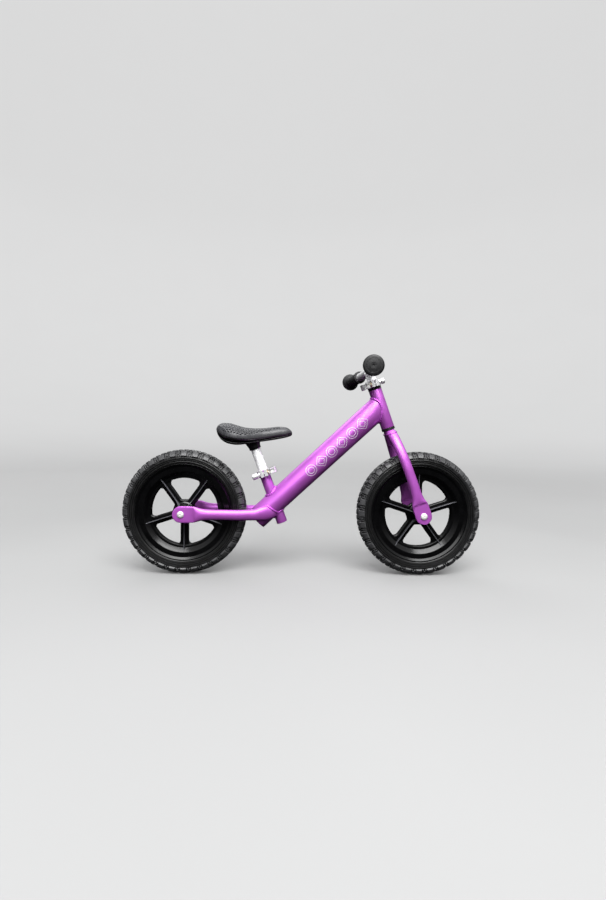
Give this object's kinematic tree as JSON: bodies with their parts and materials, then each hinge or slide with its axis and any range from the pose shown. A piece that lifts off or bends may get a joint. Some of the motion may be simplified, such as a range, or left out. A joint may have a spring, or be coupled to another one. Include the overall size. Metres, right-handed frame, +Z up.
{
  "type": "balance bike",
  "caption": "Child's balance bike with a large straight main tube, spoked moulded wheels, foam tyres, padded saddle and quick-release clamps.",
  "frame": {"origin": "on the ground, midway between the two axles, in the mid-plane", "axes": "+X forwards, +Y to the rider's left, +Z up"},
  "size_m": [0.856, 0.345, 0.5015],
  "materials": {
    "violet_paint": "satin metallic violet",
    "silver_aluminium": "polished",
    "grey_aluminium": "satin",
    "bright_steel": "polished",
    "brass": "polished",
    "black_nylon": "gloss moulded nylon",
    "black_foam_tyre": "matte foam",
    "black_rubber": "satin",
    "black_padding": "satin, fine dimples on top",
    "black_plastic": "satin"
  },
  "bodies": {
    "frame": {"main_tube": "violet_paint", "main_tube_end_plug": "violet_paint", "head_tube": "violet_paint", "seat_tube": "violet_paint", "chainstay_right": "violet_paint", "chainstay_left": "violet_paint", "headset_ring_upper": "black_rubber", "headset_ring_lower": "black_rubber", "headset_bearing_upper": "bright_steel", "headset_bearing_lower": "bright_steel", "seat_clamp_collar": "silver_aluminium", "seat_clamp_skewer": "bright_steel", "seat_clamp_pin": "bright_steel", "seat_clamp_nut": "silver_aluminium", "seat_clamp_washer": "brass", "rear_axle": "bright_steel", "rear_axle_bolt_right": "bright_steel", "rear_axle_bolt_left": "bright_steel", "rear_spacer_right": "bright_steel", "rear_spacer_left": "bright_steel"},
    "seat_lever": {"seat_clamp_lever": "silver_aluminium"},
    "seat": {"seat_post": "silver_aluminium", "saddle_base": "black_plastic", "saddle_pad": "black_padding", "saddle_screw": "bright_steel"},
    "fork": {"steerer_tube": "violet_paint", "fork_leg_right": "violet_paint", "fork_leg_left": "violet_paint", "front_axle": "bright_steel", "front_axle_bolt_right": "bright_steel", "front_axle_bolt_left": "bright_steel", "front_spacer_right": "bright_steel", "front_spacer_left": "bright_steel", "bar_clamp_collar": "silver_aluminium", "bar_clamp_skewer": "bright_steel", "bar_clamp_pin": "bright_steel", "bar_clamp_nut": "silver_aluminium", "bar_clamp_washer": "brass"},
    "bar_lever": {"bar_clamp_lever": "silver_aluminium"},
    "handlebar": {"handlebar_post": "silver_aluminium", "handlebar_tube": "grey_aluminium", "grip_right": "black_rubber", "grip_left": "black_rubber"},
    "front_wheel_set": {"front_wheel": "black_nylon", "front_tyre": "black_foam_tyre", "front_bearing_right": "bright_steel", "front_bearing_left": "bright_steel", "front_hub_sleeve": "bright_steel"},
    "rear_wheel_set": {"rear_wheel": "black_nylon", "rear_tyre": "black_foam_tyre", "rear_bearing_right": "bright_steel", "rear_bearing_left": "bright_steel", "rear_hub_sleeve": "bright_steel"}
  },
  "joints": [
    {"name": "steering", "type": "hinge", "parent": "frame", "child": "fork", "pos_m": [0.173, 0, 0.4436], "axis": [-0.3355, 0, 0.9421], "continuous": true},
    {"name": "front_wheel_spin", "type": "hinge", "parent": "fork", "child": "front_wheel_set", "pos_m": [0.28, 0, 0.148], "axis": [0, 1, 0], "continuous": true},
    {"name": "rear_wheel_spin", "type": "hinge", "parent": "frame", "child": "rear_wheel_set", "pos_m": [-0.28, 0, 0.148], "axis": [0, 1, 0], "continuous": true},
    {"name": "seat_height", "type": "slide", "parent": "frame", "child": "seat", "axis": [-0.3518, 0, 0.9361], "range_m": [-0.05, 0.035]},
    {"name": "handlebar_height", "type": "slide", "parent": "fork", "child": "handlebar", "axis": [-0.3355, 0, 0.9421], "range_m": [-0.01, 0.045]},
    {"name": "seat_lever_swing", "type": "hinge", "parent": "frame", "child": "seat_lever", "pos_m": [-0.07483, -0.021, 0.24792], "axis": [0.3518, 0, -0.9361], "range_deg": [0, 120]},
    {"name": "bar_lever_swing", "type": "hinge", "parent": "fork", "child": "bar_lever", "pos_m": [0.15154, -0.0222, 0.45082], "axis": [-0.3355, 0, 0.9421], "range_deg": [0, 120]}
  ]
}
